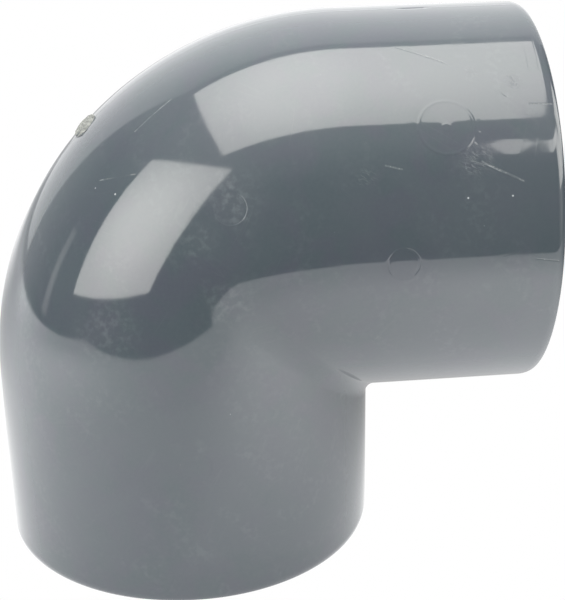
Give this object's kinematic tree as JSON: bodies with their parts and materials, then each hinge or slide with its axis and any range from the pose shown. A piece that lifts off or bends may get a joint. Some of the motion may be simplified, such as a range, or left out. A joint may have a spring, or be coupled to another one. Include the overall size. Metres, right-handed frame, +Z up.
{
  "type": "pipe elbow",
  "caption": "Right-angle moulded plastic pressure pipe elbow with plain round solvent-cement sockets and a full, rounded outer bend.",
  "frame": {"origin": "centre of the lower socket's mouth, which the elbow stands on", "axes": "+Z up the lower socket's axis, +X out along the side socket's axis, +Y across the bend"},
  "size_m": [0.1505, 0.107, 0.1505],
  "materials": {
    "body_plastic": "dark blue-grey rigid PVC, glossy as moulded, with light handling scratches"
  },
  "bodies": {
    "root": {"bend": "body_plastic", "lower_socket": "body_plastic", "side_socket": "body_plastic"}
  },
  "joints": []
}
